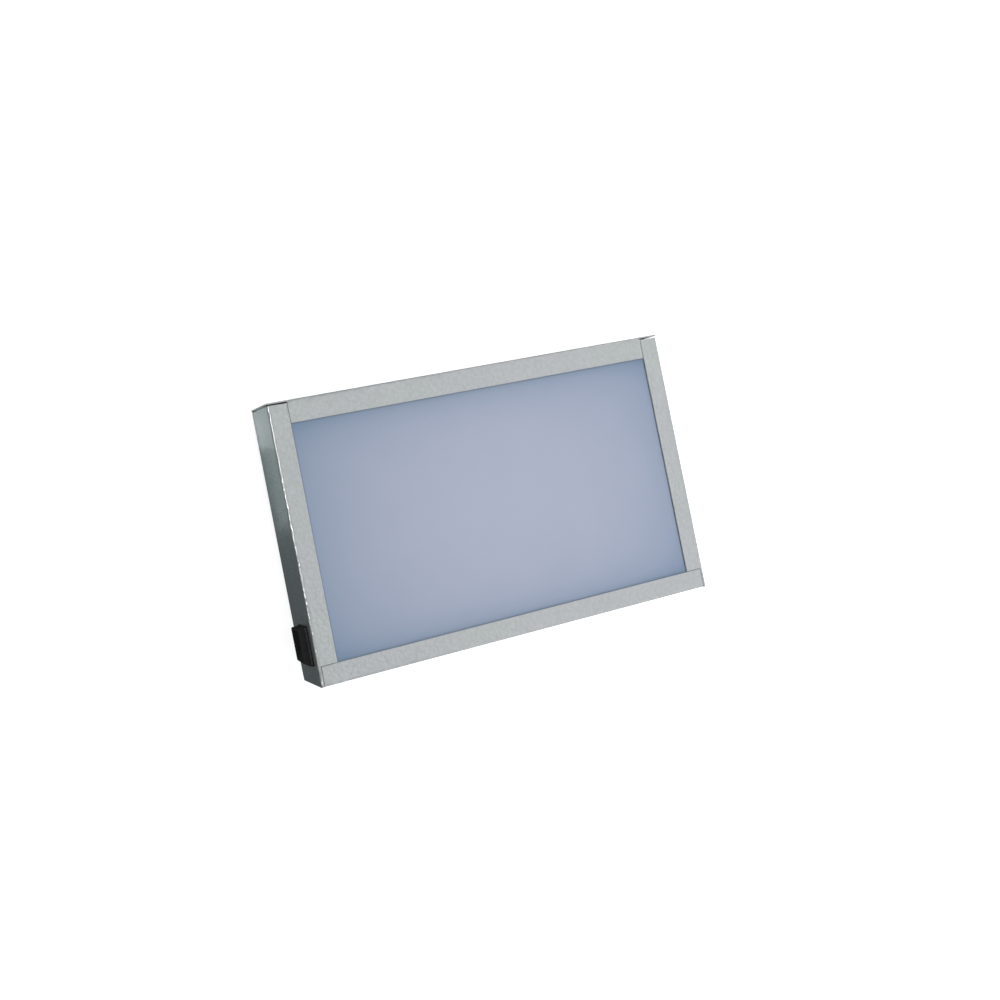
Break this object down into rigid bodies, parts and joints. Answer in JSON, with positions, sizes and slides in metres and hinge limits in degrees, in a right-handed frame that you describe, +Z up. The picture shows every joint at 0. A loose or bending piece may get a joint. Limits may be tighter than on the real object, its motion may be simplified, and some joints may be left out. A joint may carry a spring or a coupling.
{
  "type": "light table",
  "caption": "Shallow sheet-metal light table with a framed opal viewing window, tube lamps, a ballast, a rocker switch in its left side and a mains inlet in its right side.",
  "frame": {"origin": "centre of the outline at the plane that the four rubber feet rest on", "axes": "+X along the long side, with the rocker switch on -X and the inlet on +X; +Y from the near edge with the switch to the far edge; +Z up, out of the viewing window"},
  "size_m": [0.3621, 0.225, 0.07],
  "materials": {
    "housing_paint": "light grey hammer-tone stoving enamel, semi-gloss",
    "zinc_steel": "bright zinc plate",
    "foot_rubber": "moulded, matt",
    "opal_acrylic": "opal acrylic sheet, satin upper face",
    "gasket_foam": "closed-cell foam, matt",
    "reflector_white": "white enamel, gloss",
    "holder_plastic": "moulded, satin",
    "rotor_plastic": "moulded, satin",
    "lamp_glass": "glass with a white phosphor coat inside",
    "cap_aluminium": "drawn, bright",
    "contact_brass": "bright",
    "ballast_case": "white enamel, satin",
    "circuit_board": "glass-epoxy laminate with a green solder mask",
    "component_body": "moulded epoxy",
    "terminal_plastic": "moulded, satin",
    "switch_plastic": "moulded, fine spark texture",
    "rocker_plastic": "moulded, semi-gloss",
    "inlet_plastic": "moulded, satin",
    "receptacle_plastic": "flexible sleeve, satin",
    "wire_brown": "PVC insulation",
    "wire_blue": "PVC insulation",
    "wire_green_yellow": "PVC insulation, green with a yellow stripe",
    "wire_white": "silicone insulation",
    "clip_plastic": "moulded nylon"
  },
  "bodies": {
    "box": {"ballast_base": "zinc_steel", "ballast_board": "circuit_board", "ballast_components": "component_body", "ballast_cover": "ballast_case", "ballast_lamp_terminals": "terminal_plastic", "ballast_mains_terminals": "terminal_plastic", "ballast_screws": "zinc_steel", "cable_clips": "clip_plastic", "corner_angle_far_left": "zinc_steel", "corner_angle_far_right": "zinc_steel", "corner_angle_near_left": "zinc_steel", "corner_angle_near_right": "zinc_steel", "cover_screws": "zinc_steel", "diffuser": "opal_acrylic", "diffuser_gasket": "gasket_foam", "earth_nut": "zinc_steel", "earth_stud": "zinc_steel", "earth_tags": "contact_brass", "earth_wires": "wire_green_yellow", "far_profile": "housing_paint", "foot_far_left": "foot_rubber", "foot_far_right": "foot_rubber", "foot_near_left": "foot_rubber", "foot_near_right": "foot_rubber", "foot_nuts": "zinc_steel", "foot_screws": "zinc_steel", "inlet_housing": "inlet_plastic", "inlet_nuts": "zinc_steel", "inlet_pins": "contact_brass", "inlet_receptacles": "receptacle_plastic", "inlet_screws": "zinc_steel", "lamp_leads_far": "wire_white", "lamp_leads_near": "wire_white", "lampholder_far_left": "holder_plastic", "lampholder_far_right": "holder_plastic", "lampholder_near_left": "holder_plastic", "lampholder_near_right": "holder_plastic", "left_side_profile": "housing_paint", "live_wires": "wire_brown", "near_profile": "housing_paint", "neutral_wires": "wire_blue", "rear_cover": "housing_paint", "reflector": "reflector_white", "reflector_screws": "zinc_steel", "reflector_standoffs": "zinc_steel", "right_side_profile": "housing_paint", "standoff_screws": "zinc_steel", "switch_housing": "switch_plastic", "switch_receptacles": "receptacle_plastic", "switch_terminals": "contact_brass"},
    "rocker": {"rocker": "rocker_plastic"},
    "lamp_near": {"lamp_tube_near": "lamp_glass", "lamp_caps_near": "cap_aluminium", "lamp_pins_near": "contact_brass", "lamp_rotors_near": "rotor_plastic"},
    "lamp_far": {"lamp_tube_far": "lamp_glass", "lamp_caps_far": "cap_aluminium", "lamp_pins_far": "contact_brass", "lamp_rotors_far": "rotor_plastic"}
  },
  "joints": [
    {"name": "rocker_tilt", "type": "hinge", "parent": "box", "child": "rocker", "pos_m": [-0.176, -0.0805, 0.046], "axis": [0, 0, 1], "range_deg": [0, 18]},
    {"name": "lamp_near_twist", "type": "hinge", "parent": "box", "child": "lamp_near", "pos_m": [0, -0.048, 0.046], "axis": [1, 0, 0], "range_deg": [0, 90]},
    {"name": "lamp_far_twist", "type": "hinge", "parent": "box", "child": "lamp_far", "pos_m": [0, 0.048, 0.046], "axis": [1, 0, 0], "range_deg": [0, 90]}
  ]
}
